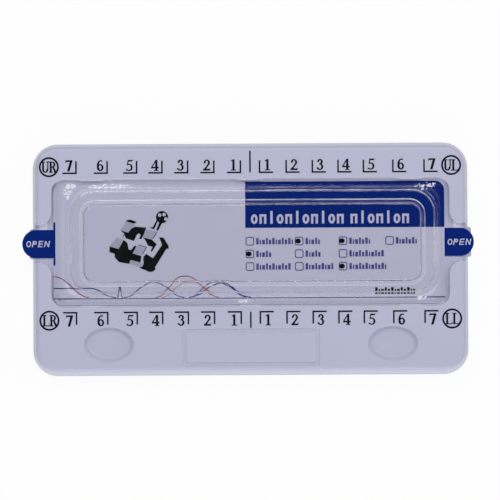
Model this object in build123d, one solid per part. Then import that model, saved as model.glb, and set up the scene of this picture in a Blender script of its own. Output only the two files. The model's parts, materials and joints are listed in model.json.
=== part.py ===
import os
from math import cos, pi, radians, sin, sqrt, tan

from build123d import *

# Orthodontic bracket tray: a white formed tray with a sunk well that holds one set of brackets,
# a printed card with two pull tabs over the well, and a clear two-step lid over the card.
# Millimetres. X runs along the tray, Y away from the user, Z up.
# The origin is the middle of the tray's footprint, on its base.

# Tray shell. Its length follows from the tooth chart and its depth from the card, further down
tray_height = 10.0
front_deck_depth = 21.85
rear_deck_depth = 11.65
tray_wall = 0.8
tray_corner_radius = 8.0
tray_edge_radius = 1.5
skirt_draft = 8.0

# Recess for the card and the lid
recess_from_end = 6.31
recess_depth = 3.0
recess_corner_radius = 4.0
recess_draft = 5.0
recess_edge_radius = 0.35

# Locating lugs along the two long walls of the recess
lug_from_recess_end = 12.65
lug_length = 8.4
lug_ramp = 1.0
lug_proud = 0.45

# Side notches that the pull tabs lie in, and the tongue under each tab
notch_side_gap = 1.6
notch_corner_radius = 3.8
tongue_side_gap = 1.3
tongue_reach = 1.7
tongue_thickness = 0.8
tongue_root_radius = 0.8
tongue_tip_radius = 0.8

# Well under the card
ledge_width = 4.0
well_corner_radius = 3.0
well_draft = 5.0
well_floor_radius = 0.9

# Two thumb dimples and the framed label panel on the front of the deck
dimple_from_end = 24.49
dimple_from_front = 9.95
dimple_half_length = 8.05
dimple_half_width = 5.75
dimple_slope = 1.35
dimple_depth = 1.8
dimple_floor_radius = 0.9
label_length = 44.1
label_width = 12.2
label_from_front = 8.8
label_corner_radius = 0.8
label_groove_width = 1.5
label_groove_depth = 0.35
label_groove_draft = 50.0

# Adhesive strips and brackets
strip_width = 7.5
strip_thickness = 0.6
strip_end_margin = 10.0
strip_to_wall = 1.5
strip_corner_radius = 1.0
teeth_with_bracket = 5
teeth_with_hook = (3, 4, 5)
upper_bracket_widths = (3.6, 3.0, 3.3, 3.1, 3.1)
lower_bracket_widths = (2.6, 2.6, 3.2, 3.1, 3.1)
pad_margin = 0.25
pad_height = 3.4
pad_thickness = 0.45
pad_corner_radius = 0.6
neck_height = 2.0
neck_thickness = 0.75
wing_height = 2.9
wing_thickness = 0.75
wing_edge_radius = 0.15
archwire_slot = 0.56
archwire_slot_depth = 0.72
wing_groove = 0.7
wing_groove_depth = 0.95
hook_wire = 0.4
hook_ball = 0.75
hook_reach = 1.1
hook_rise = 0.35

# Card with its tabs
card_gap_left = 0.6
card_gap_right = 1.5
card_gap_front = 0.75
card_gap_rear = 1.0
card_thickness = 0.4
card_corner_radius = 3.0
card_seat_gap = 0.05
tab_width = 9.0
tab_overhang_left = 3.06
tab_overhang_right = 1.56
tab_end_radius = 4.4
tab_root_radius = 0.6
tab_overlap = 1.0

# Clear lid
lid_skin = 0.35
lid_seat_gap = 0.05
lid_rim_margin = 0.35
lid_draft = 30.0
lid_edge_radius = 0.3
lid_step_height = 1.4
lid_step_from_left = 4.3
lid_step_from_right = 1.9
lid_step_from_front = 2.5
lid_step_from_rear = 1.65
lid_step_corner_radius = 8.2
lid_window_height = 1.9
lid_window_from_left = 8.25
lid_window_from_right = 6.05
lid_window_from_side = 5.65
lid_window_corner_radius = 4.8

# Ink
ink_thickness = 0.05

# Tooth chart on the deck
tooth_pitches = (8.5, 8.35, 8.2, 8.1, 9.4, 9.95)
first_tooth_mark = 3.05
mark_length = 4.3
mark_rise = 3.85
mark_stroke = 0.5
upper_mark_to_recess = 1.85
lower_mark_to_recess = 1.7
digit_height = 3.55
digit_from_bar = 2.37
digit_from_line = 2.5
digit_shift_x = 0.15
digit_shift_y = -0.1
quadrant_from_last_mark = 8.65
quadrant_from_upper_line = 2.0
quadrant_from_lower_line = 2.5
quadrant_radius = 3.2
quadrant_ring_stroke = 0.58
quadrant_to_tray_end = 2.44
quadrant_letter_height = 3.6
quadrant_letter_pitch = 2.3
centre_line_upper = 6.9
centre_line_lower = 5.1

# Print on the card
header_length = 63.65
header_height = 14.8
heading_margin = 1.8
heading_rise = 1.25
heading_height = 4.1
heading_low_height = 3.1
heading_stroke = 0.75
heading_letter_width = 2.2
heading_letter_pitch = 2.75
heading_word_gap = 1.6
heading_words = (11, 7)
box_size = 2.75
box_stroke = 0.3
box_corner_radius = 0.6
boxes_under_header = 2.9
box_row_pitch = 4.05
boxes_over_waves = 1.7
box_columns = (-1.1, 14.65, 28.65, 43.55)
row_columns = (4, 3, 3)
ticked_boxes = ((0, 1), (0, 2), (1, 0), (2, 2))
tick_length = 1.8
tick_height = 1.6
tick_shift = 0.35
caption_gap = 0.65
caption_widths = (0.8, 0.45, 0.9, 0.6, 0.75)
caption_heights = (2.0, 1.45, 1.45, 2.0, 1.45)
caption_letter_gap = 0.32
caption_lengths = ((12.0, 4.6, 7.2, 7.3), (5.3, 5.4, 11.1), (11.4, 9.4, 12.4))
tab_letter_height = 2.0
tab_letter_stroke = 0.36
tab_letter_slant = 12.0
tab_letter_width = 1.25
tab_letter_round = 0.78
tab_letter_bowl = 0.6
tab_letter_pitch = 1.95
tab_sliver_width = 0.6
tab_sliver_length = 13.8
line_stroke = 0.3
base_line_rise = 1.9
wave_stroke = 0.32
wave_steps = 12
note_from_left = 102.7
note_rise = 4.2
note_length = 12.7
spike_from_left = 20.4
spike_length = 1.5
spike_rise = 4.2
# Each wave: where it leaves the base line, the two ends of its crest, where it is back, and its rise
red_waves = ((0.0, 0.0, 0.4, 11.4, 6.75), (32.6, 41.2, 42.5, 52.8, 6.75))
orange_waves = ((34.6, 42.2, 45.3, 52.7, 4.95),)
blue_waves = ((0.0, 0.0, 11.7, 20.0, 3.0), (22.5, 31.6, 32.2, 41.8, 5.1), (43.5, 51.1, 51.9, 62.9, 5.1),
              (43.3, 53.8, 54.3, 61.5, 4.8))

# Picture of a twin bracket on the card: outlines around the picture's middle
picture_from_left = 27.4
picture_rise = 0.4
picture_faces = (
    ((-4.3, 6.6), (-1.5, 5.9), (-1.4, 5.2), (-2.4, 4.5), (-3.5, 3.3), (-5.9, 4.1)),
    ((-7.3, 1.6), (-5.2, 0.9), (-6.6, -1.9), (-9.3, -1.1)),
    ((2.3, 4.1), (5.7, 3.4), (4.1, 0.9), (1.3, 1.8)),
    ((-0.9, -1.1), (2.1, -1.9), (0.7, -4.1), (-2.0, -3.4)),
    ((-2.7, -5.7), (0.4, -6.6), (1.2, -6.8), (0.7, -7.7), (-0.2, -7.9), (-3.1, -7.0)),
)
picture_darks = (
    ((-4.1, 7.0), (-2.9, 7.3), (-0.7, 6.5), (-1.6, 6.0), (-4.2, 6.7)),
    ((-6.1, 4.0), (-3.5, 3.1), (-2.6, 4.3), (-1.3, 5.0), (2.3, 4.7), (1.5, 2.5), (0.7, 1.0), (-0.1, 1.1),
     (0.5, 2.3), (-0.1, 2.9), (-0.8, 2.3), (-1.7, 0.4), (-4.3, 1.3), (-4.9, 2.9)),
    ((1.2, 1.6), (4.1, 0.8), (5.6, -0.7), (4.0, -3.1), (3.6, -2.8), (4.3, -1.5), (2.8, -1.1), (1.9, 0.7)),
    ((-9.5, -1.2), (-6.6, -2.1), (-5.0, 0.8), (-3.8, -0.1), (-3.4, -2.2), (-2.6, -2.5), (-1.6, -1.1),
     (-0.9, -1.2), (-2.1, -3.5), (0.7, -4.4), (0.4, -6.5), (-2.8, -5.6), (-3.2, -6.9), (-6.5, -6.3),
     (-7.9, -4.7), (-7.8, -3.7), (-9.5, -3.1)),
    ((6.4, 1.6), (7.8, 1.4), (9.4, -1.2), (9.4, -2.2), (8.7, -2.1), (5.0, -8.1), (5.3, -8.6), (4.3, -9.4),
     (3.2, -9.5), (-0.1, -8.1), (0.9, -7.8), (1.4, -6.8), (1.2, -4.8), (2.2, -3.7), (4.4, -5.1), (7.3, -0.9)),
    ((3.2, 4.7), (4.4, 4.8), (5.6, 7.2), (6.2, 7.2), (4.8, 4.1)),
    ((5.4, 3.8), (6.7, 6.9), (7.6, 6.7), (6.1, 3.7)),
)
picture_lines = (
    ((-5.35, 1.6), (-4.8, 2.4)),
    ((4.3, 1.0), (5.75, 3.2)),
    ((-0.3, -0.8), (2.3, -1.6)),
    ((2.3, -1.6), (0.95, -4.0)),
)
picture_line_stroke = 0.22
picture_ball = 1.95
picture_ball_centre = (7.33, 8.0)
picture_glint = 0.56
picture_glints = ((6.6, 8.65), (8.0, 8.8), (8.58, 7.4))

# Levels and places that follow from the sizes above
tooth_marks = [first_tooth_mark + sum(tooth_pitches[:count]) for count in range(len(tooth_pitches) + 1)]
quadrant_x = tooth_marks[-1] + quadrant_from_last_mark
tray_length = 2 * (quadrant_x + quadrant_radius + quadrant_to_tray_end)
box_rows_height = (len(row_columns) - 1) * box_row_pitch + box_size
wave_band_height = max(wave[-1] for wave in red_waves + orange_waves + blue_waves)
card_upper_print = header_height + boxes_under_header + box_rows_height
card_lower_print = boxes_over_waves + wave_band_height + line_stroke + base_line_rise
card_width = card_upper_print + card_lower_print
recess_length = tray_length - 2 * recess_from_end
recess_width = card_width + card_gap_front + card_gap_rear
recess_setback = (front_deck_depth - rear_deck_depth) / 2
card_middle_y = recess_setback + (card_gap_front - card_gap_rear) / 2
tray_depth = recess_width + front_deck_depth + rear_deck_depth
ledge_z = tray_height - recess_depth
card_bottom_z = ledge_z + card_seat_gap
card_top_z = card_bottom_z + card_thickness
lid_bottom_z = card_top_z + ink_thickness + lid_seat_gap
strip_top_z = tray_wall + strip_thickness
notch_width = tab_width + 2 * notch_side_gap
tongue_width = notch_width - 2 * tongue_side_gap
well_length = recess_length - 2 * ledge_width
well_width = recess_width - 2 * ledge_width
well_floor_drop = (ledge_z - tray_wall) * tan(radians(well_draft))
strip_from_middle = well_width / 2 - well_floor_drop - strip_to_wall - strip_width / 2
upper_strip_y = recess_setback + strip_from_middle
lower_strip_y = recess_setback - strip_from_middle
front_y = -tray_depth / 2
upper_mark_y = recess_setback + recess_width / 2 + upper_mark_to_recess
lower_mark_y = recess_setback - recess_width / 2 - lower_mark_to_recess
card_left_x = card_gap_left - recess_length / 2
card_right_x = recess_length / 2 - card_gap_right
card_length = card_right_x - card_left_x
card_middle_x = (card_left_x + card_right_x) / 2
card_front_y = card_middle_y - card_width / 2
card_back_y = card_middle_y + card_width / 2
tab_left_tip = tray_length / 2 + tab_overhang_left
tab_right_tip = tray_length / 2 + tab_overhang_right
picture_x = card_left_x + picture_from_left
picture_y = card_middle_y + picture_rise
near = 0.01


def prism(sketch, bottom, height, taper=0.0):
    """Extrude a flat sketch upwards from a level, narrowing by the taper."""
    return extrude(Pos(0, 0, bottom) * sketch, amount=height, taper=taper)


def sink(sketch, top, depth, taper):
    """Extrude a flat sketch downwards from a level, narrowing by the taper."""
    return extrude(Pos(0, 0, top) * sketch, amount=-depth, taper=taper)


def outer_block(inset):
    """The drafted body of the tray, inset on every side; inset 0 is the outside."""
    plan = RectangleRounded(tray_length - 2 * inset, tray_depth - 2 * inset, tray_corner_radius - inset)
    block = prism(plan, 0, tray_height - inset, skirt_draft)
    rim = block.faces().sort_by(Axis.Z)[-1].edges()
    return fillet(rim, tray_edge_radius - inset)


def lug_plan(centre_x, side, edge_y):
    """One locating lug: a low hump with a ramp at each end, on a wall at edge_y."""
    half = lug_length / 2
    tip = edge_y - side * lug_proud
    back = edge_y + side * tray_wall
    points = [(centre_x - half, edge_y), (centre_x - half + lug_ramp, tip), (centre_x + half - lug_ramp, tip),
              (centre_x + half, edge_y), (centre_x + half, back), (centre_x - half, back)]
    return Polygon(*points, align=None)


def recess_plan(grow):
    """The recess and its two side notches; grow moves every wall outwards."""
    half_length = recess_length / 2 + grow
    half_notch = notch_width / 2 + grow
    window = RectangleRounded(2 * half_length, recess_width + 2 * grow, recess_corner_radius + grow)
    notch_y = card_middle_y - recess_setback
    plan = window + Pos(0, notch_y) * Rectangle(1.2 * tray_length, 2 * half_notch)
    corners = [corner for corner in plan.vertices()
               if abs(abs(corner.X) - half_length) < near
               and abs(abs(corner.Y - notch_y) - half_notch) < near]
    plan = fillet(corners, notch_corner_radius - grow)
    for place in (-1, 0, 1):
        for side in (-1, 1):
            centre_x = place * (recess_length / 2 - lug_from_recess_end)
            plan -= lug_plan(centre_x, side, side * (recess_width / 2 + grow))
    return plan


def recess_cut(grow):
    return sink(Pos(0, recess_setback) * recess_plan(grow), tray_height, recess_depth + grow, recess_draft)


def well_plan(grow):
    plan = RectangleRounded(well_length + 2 * grow, well_width + 2 * grow, well_corner_radius + grow)
    return Pos(0, recess_setback) * plan


def well_cut():
    """The well's inside, with its floor rounded into its walls."""
    cut = sink(well_plan(0), ledge_z, ledge_z - tray_wall, well_draft)
    return fillet(cut.faces().sort_by(Axis.Z)[0].edges(), well_floor_radius)


def dimple_cut(side, grow):
    """One oval dimple with a sloping wall and a flat floor."""
    top = Ellipse(dimple_half_length + grow, dimple_half_width + grow)
    floor = Ellipse(dimple_half_length + grow - dimple_slope, dimple_half_width + grow - dimple_slope)
    place = Pos(side * (tray_length / 2 - dimple_from_end), front_y + dimple_from_front)
    low = Pos(0, 0, tray_height - dimple_depth - grow)
    high = Pos(0, 0, tray_height)
    cut = loft([place * low * floor, place * high * top])
    return fillet(cut.faces().sort_by(Axis.Z)[0].edges(), dimple_floor_radius)


def label_groove():
    """The shallow groove that frames the label panel."""
    outside = RectangleRounded(label_length, label_width, label_corner_radius)
    inside = RectangleRounded(label_length - 2 * label_groove_width, label_width - 2 * label_groove_width,
                              label_corner_radius / 2)
    place = Pos(0, front_y + label_from_front)
    return sink(place * (outside - inside), tray_height, label_groove_depth, label_groove_draft)


def tongue(side):
    """The lip that reaches out under a pull tab, with hollow roots where it leaves the tray's wall."""
    wall_x = tray_length / 2 - ledge_z * tan(radians(skirt_draft))
    half = tongue_width / 2
    shoulder = half + 2 * tongue_root_radius
    points = [(-tray_wall, -shoulder), (0, -shoulder), (0, -half), (tongue_reach, -half),
              (tongue_reach, half), (0, half), (0, shoulder), (-tray_wall, shoulder)]
    lip = prism(Polygon(*points, align=None), ledge_z - tongue_thickness, tongue_thickness)
    uprights = lip.edges().filter_by(Axis.Z)
    roots = [edge for edge in uprights
             if abs(edge.center().X) < near and abs(abs(edge.center().Y) - half) < near]
    lip = fillet(roots, tongue_root_radius)
    tips = [edge for edge in lip.edges().filter_by(Axis.Z) if abs(edge.center().X - tongue_reach) < near]
    lip = fillet(tips, tongue_tip_radius)
    if side < 0:
        lip = mirror(lip, Plane.YZ)
    return Pos(side * wall_x, card_middle_y) * lip


def inner_rim_edges(shell):
    """The edges at deck level that border the recess and the notches, not the tray's outer edge."""
    top_inset = tray_height * tan(radians(skirt_draft)) + tray_edge_radius
    half_x = tray_length / 2 - top_inset
    half_y = tray_depth / 2 - top_inset
    chosen = []
    for edge in shell.edges():
        middle = edge.center()
        level = abs(edge.position_at(0).Z - tray_height) < near and abs(middle.Z - tray_height) < near
        inside = abs(middle.X) < half_x - top_inset / 10 and abs(middle.Y) < half_y - top_inset / 10
        corner = abs(middle.X) > tray_length / 2 - tray_corner_radius and \
            abs(middle.Y) > tray_depth / 2 - tray_corner_radius
        if level and inside and not corner:
            chosen.append(edge)
    return chosen


def make_tray():
    """The formed shell: its upper side less its underside, which follows it one wall below."""
    upper_side = outer_block(0) - recess_cut(0)
    upper_side = fillet(inner_rim_edges(upper_side), recess_edge_radius)
    upper_side -= well_cut()
    underside = outer_block(tray_wall) - recess_cut(tray_wall)
    underside -= sink(well_plan(tray_wall), ledge_z, ledge_z + 1, well_draft)
    for side in (-1, 1):
        upper_side -= dimple_cut(side, 0)
        underside -= dimple_cut(side, tray_wall)
    upper_side -= label_groove()
    shell = upper_side - underside
    for side in (-1, 1):
        shell += tongue(side)
    return shell


def make_strip(centre_y):
    """A strip of double-sided foam tape on the floor of the well."""
    plan = RectangleRounded(well_length - 2 * strip_end_margin, strip_width, strip_corner_radius)
    return prism(Pos(0, centre_y) * plan, tray_wall, strip_thickness)


def bracket_hook(width):
    """The hook on the outer gingival wing: a short wire that rises to a ball."""
    wing_z = pad_thickness + neck_thickness + wing_thickness / 2
    start = (width / 2 - 0.55, wing_height / 2 - 0.5, wing_z)
    end = (width / 2 - 0.35, wing_height / 2 + hook_reach, wing_z + hook_rise)
    path = Line(start, end)
    section = Plane(origin=start, z_dir=path % 0) * Circle(hook_wire / 2)
    return sweep(section, path=path) + Pos(*end) * Sphere(hook_ball / 2)


def make_bracket(width, hooked, outward, gingival):
    """A twin bracket: base pad, neck and four tie wings, with the archwire slot along X.

    outward is the side of the tray that the hook stands on, and gingival the way that it points.
    """
    pad = prism(RectangleRounded(width + 2 * pad_margin, pad_height, pad_corner_radius), 0, pad_thickness)
    neck = prism(Rectangle(width, neck_height), pad_thickness, neck_thickness)
    wing_bottom = pad_thickness + neck_thickness
    wings = prism(Rectangle(width, wing_height), wing_bottom, wing_thickness)
    wings = fillet(wings.edges(), wing_edge_radius)
    bracket = pad + neck + wings
    wing_top = wing_bottom + wing_thickness
    bracket -= sink(Rectangle(2 * width, archwire_slot), wing_top, archwire_slot_depth, 0)
    bracket -= sink(Rectangle(wing_groove, 2 * wing_height), wing_top, wing_groove_depth, 0)
    if hooked:
        bracket += bracket_hook(width)
    if outward < 0:
        bracket = mirror(bracket, Plane.YZ)
    if gingival < 0:
        bracket = mirror(bracket, Plane.XZ)
    return bracket


def tab_plan(tip, side):
    """One pull tab from inside the card's edge to its rounded tip."""
    edge_x = card_right_x if side > 0 else -card_left_x
    root = edge_x - tab_overlap
    plan = Pos((root + tip - tab_end_radius) / 2) * Rectangle(tip - tab_end_radius - root, tab_width)
    end = Pos(tip - 2 * tab_end_radius) * RectangleRounded(4 * tab_end_radius, tab_width, tab_end_radius)
    plan += end & Pos(tip) * Rectangle(4 * tab_end_radius, 2 * tab_width)
    return Pos(0, card_middle_y) * (plan if side > 0 else mirror(plan, Plane.YZ))


def card_body_plan(margin):
    """The card without its tabs, smaller by the margin on every side."""
    plan = RectangleRounded(card_length - 2 * margin, card_width - 2 * margin, card_corner_radius - margin)
    return Pos(card_middle_x, card_middle_y) * plan


def card_plan():
    plan = card_body_plan(0)
    plan += tab_plan(tab_left_tip, -1)
    plan += tab_plan(tab_right_tip, 1)
    roots = [corner for corner in plan.vertices()
             if abs(abs(corner.Y - card_middle_y) - tab_width / 2) < near
             and (abs(corner.X - card_left_x) < near or abs(corner.X - card_right_x) < near)]
    return fillet(roots, tab_root_radius)


def lid_block_plan(margins, inset, corner_radius):
    """The foot of one block of the lid: margins from the rim's left, right, front and rear edges."""
    left = card_left_x + lid_rim_margin + margins[0] + inset
    right = card_right_x - lid_rim_margin - margins[1] - inset
    front = card_front_y + lid_rim_margin + margins[2] + inset
    rear = card_back_y - lid_rim_margin - margins[3] - inset
    block = RectangleRounded(right - left, rear - front, corner_radius)
    return Pos((left + right) / 2, (front + rear) / 2) * block


def lid_form(skin):
    """The lid's outside when skin is 0, and the space under it when skin is its thickness."""
    step_bottom = 0 if skin else lid_skin
    step_top = lid_skin + lid_step_height - skin
    inset = skin * (1 - sin(radians(lid_draft))) / cos(radians(lid_draft))
    step_margins = (lid_step_from_left, lid_step_from_right, lid_step_from_front, lid_step_from_rear)
    window_margins = (lid_window_from_left, lid_window_from_right, lid_window_from_side, lid_window_from_side)
    step_plan = lid_block_plan(step_margins, inset, lid_step_corner_radius - inset)
    window_plan = lid_block_plan(window_margins, inset, lid_window_corner_radius - inset)
    form = prism(step_plan, step_bottom, step_top - step_bottom, lid_draft)
    form += prism(window_plan, step_top, lid_window_height, lid_draft)
    if skin == 0:
        form += prism(card_body_plan(lid_rim_margin), 0, lid_skin)
    return form


def make_lid():
    """The clear lid: a flat rim, a low step and a raised window, all one thin skin."""
    outside = lid_form(0)
    levels = (lid_skin + lid_step_height, lid_skin + lid_step_height + lid_window_height)
    tops = [edge for edge in outside.edges() if any(abs(edge.center().Z - level) < near for level in levels)]
    outside = fillet(tops, lid_edge_radius)
    return Pos(0, 0, lid_bottom_z) * (outside - lid_form(lid_skin))


def stroke(start, end, width):
    """A straight stroke between two points, square at its ends."""
    dx = end[0] - start[0]
    dy = end[1] - start[1]
    length = sqrt(dx * dx + dy * dy)
    side_x = -dy / length * width / 2
    side_y = dx / length * width / 2
    return Polygon((start[0] + side_x, start[1] + side_y), (start[0] - side_x, start[1] - side_y),
                   (end[0] - side_x, end[1] - side_y), (end[0] + side_x, end[1] + side_y), align=None)


def bowl(centre_x, centre_y, half_width, half_height, thick=0.18, thin=0.11):
    """A ring that is thick at its sides and thin at its top and foot."""
    ring = Ellipse(half_width, half_height) - Ellipse(half_width - thick, half_height - thin)
    return Pos(centre_x, centre_y) * ring


def patch(left, bottom, right, top):
    return Pos((left + right) / 2, (bottom + top) / 2) * Rectangle(right - left, top - bottom)


def dot(centre_x, centre_y, radius):
    """The small ball that ends a curled stroke, with six sides."""
    return Pos(centre_x, centre_y) * RegularPolygon(radius, 6)


def digit_one():
    flag = Polygon((-0.26, 0.32), (-0.22, 0.4), (-0.02, 0.5), (-0.02, 0.34), align=None)
    return patch(-0.1, -0.5, 0.1, 0.5) + patch(-0.24, -0.5, 0.24, -0.42) + flag


def digit_two():
    top = bowl(0, 0.21, 0.28, 0.29) - patch(-0.3, -0.2, 0.0, 0.2)
    slope = Polygon((0.28, 0.16), (0.08, 0.08), (-0.33, -0.44), (-0.1, -0.42), align=None)
    foot = patch(-0.33, -0.5, 0.28, -0.34) + Polygon((0.28, -0.5), (0.34, -0.24), (0.25, -0.34), align=None)
    return top + slope + foot + dot(-0.2, 0.23, 0.09)


def digit_three():
    top = bowl(-0.02, 0.25, 0.25, 0.25) - patch(-0.3, -0.05, -0.06, 0.24)
    foot = bowl(-0.03, -0.2, 0.3, 0.3) - patch(-0.35, -0.3, -0.08, 0.12)
    return top + foot + dot(-0.2, 0.27, 0.08) + dot(-0.25, -0.32, 0.09)


def digit_four():
    slope = Polygon((0.06, 0.5), (0.16, 0.5), (-0.22, -0.16), (-0.34, -0.16), align=None)
    stem = patch(0.02, -0.5, 0.22, 0.5) + patch(-0.09, -0.5, 0.32, -0.43)
    return slope + patch(-0.34, -0.27, 0.34, -0.13) + stem


def digit_five():
    flag = Polygon((-0.16, 0.5), (0.24, 0.5), (0.3, 0.56), (0.24, 0.36), (-0.13, 0.36), align=None)
    spine = Polygon((-0.17, 0.5), (-0.08, 0.5), (-0.15, 0.0), (-0.25, 0.04), align=None)
    belly = bowl(-0.04, -0.17, 0.32, 0.33) - patch(-0.37, -0.38, -0.12, 0.1)
    return flag + spine + belly + dot(-0.25, -0.38, 0.09)


def digit_six():
    back = (bowl(0.06, 0, 0.36, 0.5) - patch(0.06, -0.5, 0.42, 0.36)) - patch(0.2, 0.0, 0.42, 0.5)
    return bowl(0, -0.18, 0.3, 0.32) + back


def digit_seven():
    bar = patch(-0.3, 0.35, 0.31, 0.5) + Polygon((-0.3, 0.5), (-0.35, 0.22), (-0.25, 0.35), align=None)
    return bar + Polygon((0.31, 0.42), (0.08, 0.4), (-0.17, -0.5), (0.05, -0.5), align=None)


def letter_u():
    foot = bowl(0, -0.16, 0.28, 0.34, 0.17, 0.12) & patch(-0.3, -0.5, 0.3, -0.16)
    stems = patch(-0.28, -0.17, -0.11, 0.46) + patch(0.18, -0.17, 0.28, 0.46)
    return foot + stems + patch(-0.34, 0.42, -0.02, 0.5) + patch(0.09, 0.42, 0.34, 0.5)


def letter_l():
    toe = Polygon((0.14, -0.5), (0.3, -0.5), (0.33, -0.22), (0.24, -0.42), align=None)
    serifs = patch(-0.31, 0.42, 0.06, 0.5) + patch(-0.31, -0.5, 0.22, -0.42)
    return patch(-0.22, -0.5, -0.04, 0.5) + serifs + toe


def letter_r():
    round_stroke = bowl(-0.02, 0.23, 0.28, 0.27, 0.17, 0.09) & patch(-0.02, -0.05, 0.3, 0.5)
    bars = patch(-0.31, 0.41, -0.02, 0.5) + patch(-0.1, -0.04, -0.02, 0.05) + patch(-0.31, -0.5, 0.02, -0.42)
    leg = Polygon((-0.03, 0.03), (0.13, 0.03), (0.39, -0.5), (0.18, -0.5), align=None)
    return patch(-0.24, -0.5, -0.06, 0.5) + round_stroke + bars + leg


digit_makers = (digit_one, digit_two, digit_three, digit_four, digit_five, digit_six, digit_seven)


def sized(form, height, centre_x, centre_y):
    return Pos(centre_x, centre_y) * scale(form(), by=height)


def chart_corner(mark_x, side, row):
    """The corner mark of one tooth: a bar on the midline side and a line on the recess side."""
    line_y = upper_mark_y if row > 0 else lower_mark_y
    x = side * mark_x
    bar = stroke((x, line_y - row * mark_stroke / 2), (x, line_y + row * mark_rise), mark_stroke)
    line = stroke((x, line_y), (x + side * mark_length, line_y), mark_stroke)
    return bar + line


def chart_row(row):
    """The tooth numbers of one arch, with the ringed letters of each quadrant at the two ends."""
    line_y = upper_mark_y if row > 0 else lower_mark_y
    digit_y = line_y + row * digit_from_line + digit_shift_y
    ring_y = upper_mark_y + quadrant_from_upper_line if row > 0 else lower_mark_y - quadrant_from_lower_line
    pieces = []
    for side in (-1, 1):
        for mark_x, make_digit in zip(tooth_marks, digit_makers):
            pieces.append(chart_corner(mark_x, side, row))
            digit_x = side * (mark_x + digit_from_bar) + digit_shift_x
            pieces.append(sized(make_digit, digit_height, digit_x, digit_y))
        ring_x = side * quadrant_x
        ring = Circle(quadrant_radius) - Circle(quadrant_radius - quadrant_ring_stroke)
        ring = Pos(ring_x, ring_y) * ring
        arch_letter = letter_u if row > 0 else letter_l
        side_letter = letter_r if side < 0 else letter_l
        ring += sized(arch_letter, quadrant_letter_height, ring_x - quadrant_letter_pitch / 2, ring_y)
        ring += sized(side_letter, quadrant_letter_height, ring_x + quadrant_letter_pitch / 2, ring_y)
        pieces.append(ring)
    reach = centre_line_upper if row > 0 else centre_line_lower
    pieces.append(stroke((0, line_y), (0, line_y + row * reach), mark_stroke))
    return pieces


def ink(sketches, level):
    """A thin film of ink over each sketch, as one group of separate films."""
    films = []
    for sketch in sketches:
        for face in sketch.faces():
            films += extrude(Pos(0, 0, level) * face, amount=ink_thickness, dir=(0, 0, 1)).solids()
    return Compound(children=films)


def slanted(x0, y0, x1, y1):
    """A stroke of a slanted capital, given in upright letter coordinates."""
    lean = tan(radians(tab_letter_slant))
    return stroke((x0 + y0 * lean, y0), (x1 + y1 * lean, y1), tab_letter_stroke)


def tab_letters():
    """The four slanted capitals that mark a pull tab, centred on the origin."""
    pen = tab_letter_stroke
    half = tab_letter_height / 2
    left = -tab_letter_width / 2
    right = tab_letter_width / 2
    top = half - pen / 2
    spine = slanted(left, -half, left, half)
    bowl_lean = tan(radians(tab_letter_slant)) * (half - tab_letter_bowl)
    letter_o = Ellipse(tab_letter_round, half) - Ellipse(tab_letter_round - pen, half - pen)
    letter_o = Rot(0, 0, -tab_letter_slant) * letter_o
    letter_p = Circle(tab_letter_bowl) - Circle(tab_letter_bowl - pen)
    letter_p = Pos(left + tab_letter_bowl + bowl_lean, half - tab_letter_bowl) * letter_p
    letter_p = letter_p - patch(-tab_letter_height, -half, left + bowl_lean, half) + spine
    letter_e = spine
    for level in (top, 0, -top):
        letter_e += slanted(left, level, right, level)
    letter_n = spine + slanted(right, -half, right, half)
    letter_n += slanted(left + pen / 4, top, right - pen / 4, -top)
    letters = []
    for place, letter in enumerate((letter_o, letter_p, letter_e, letter_n)):
        letters.append(Pos((place - 1.5) * tab_letter_pitch) * letter)
    return letters


def heading_shape(kind, left, bottom):
    """One generic mark of the heading: a round, an arch or a tall post, and no real letter's place."""
    middle = left + heading_letter_width / 2
    half = heading_low_height / 2
    if kind == 0:
        ring = Ellipse(heading_letter_width / 2, half)
        ring -= Ellipse(heading_letter_width / 2 - heading_stroke, half - heading_stroke)
        return Pos(middle, bottom + half) * ring
    if kind == 1:
        arch = patch(left, bottom, left + heading_letter_width, bottom + heading_low_height)
        return arch - patch(left + heading_stroke, bottom, left + heading_letter_width - heading_stroke,
                            bottom + heading_low_height - heading_stroke)
    return patch(middle - heading_stroke / 2, bottom, middle + heading_stroke / 2, bottom + heading_height)


def heading_marks():
    """The two greeked words of the heading, as marks to leave open in the blue."""
    bottom = card_back_y - header_height + heading_rise
    left = card_right_x - header_length + heading_margin
    marks = []
    for word_number, letters in enumerate(heading_words):
        for letter in range(letters):
            marks.append(heading_shape((letter + word_number) % 3, left, bottom))
            left += heading_letter_pitch
        left += heading_word_gap
    return marks


def blue_print():
    """Header block, tabs and ruled lines; the heading and the tab letters are left open in the blue."""
    header = patch(card_right_x - header_length, card_back_y - header_height, card_right_x, card_back_y)
    header = header & card_body_plan(0)
    for mark in heading_marks():
        header -= mark
    sketches = [header]
    for side, tip, edge_x in ((-1, tab_left_tip, -card_left_x), (1, tab_right_tip, card_right_x)):
        middle = Pos(side * (edge_x + tip) / 2, card_middle_y)
        tab = tab_plan(tip, side) & middle * Rectangle(tip - edge_x, 2 * tab_width)
        for letter in tab_letters():
            tab -= middle * letter
        sketches.append(tab)
    sketches.append(patch(card_left_x, card_middle_y - tab_sliver_length / 2, card_left_x + tab_sliver_width,
                          card_middle_y + tab_sliver_length / 2))
    return sketches + [base_line()] + waves()["blue"]


def base_line():
    bottom = card_front_y + base_line_rise
    return patch(card_left_x, bottom, card_right_x, bottom + line_stroke)


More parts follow.
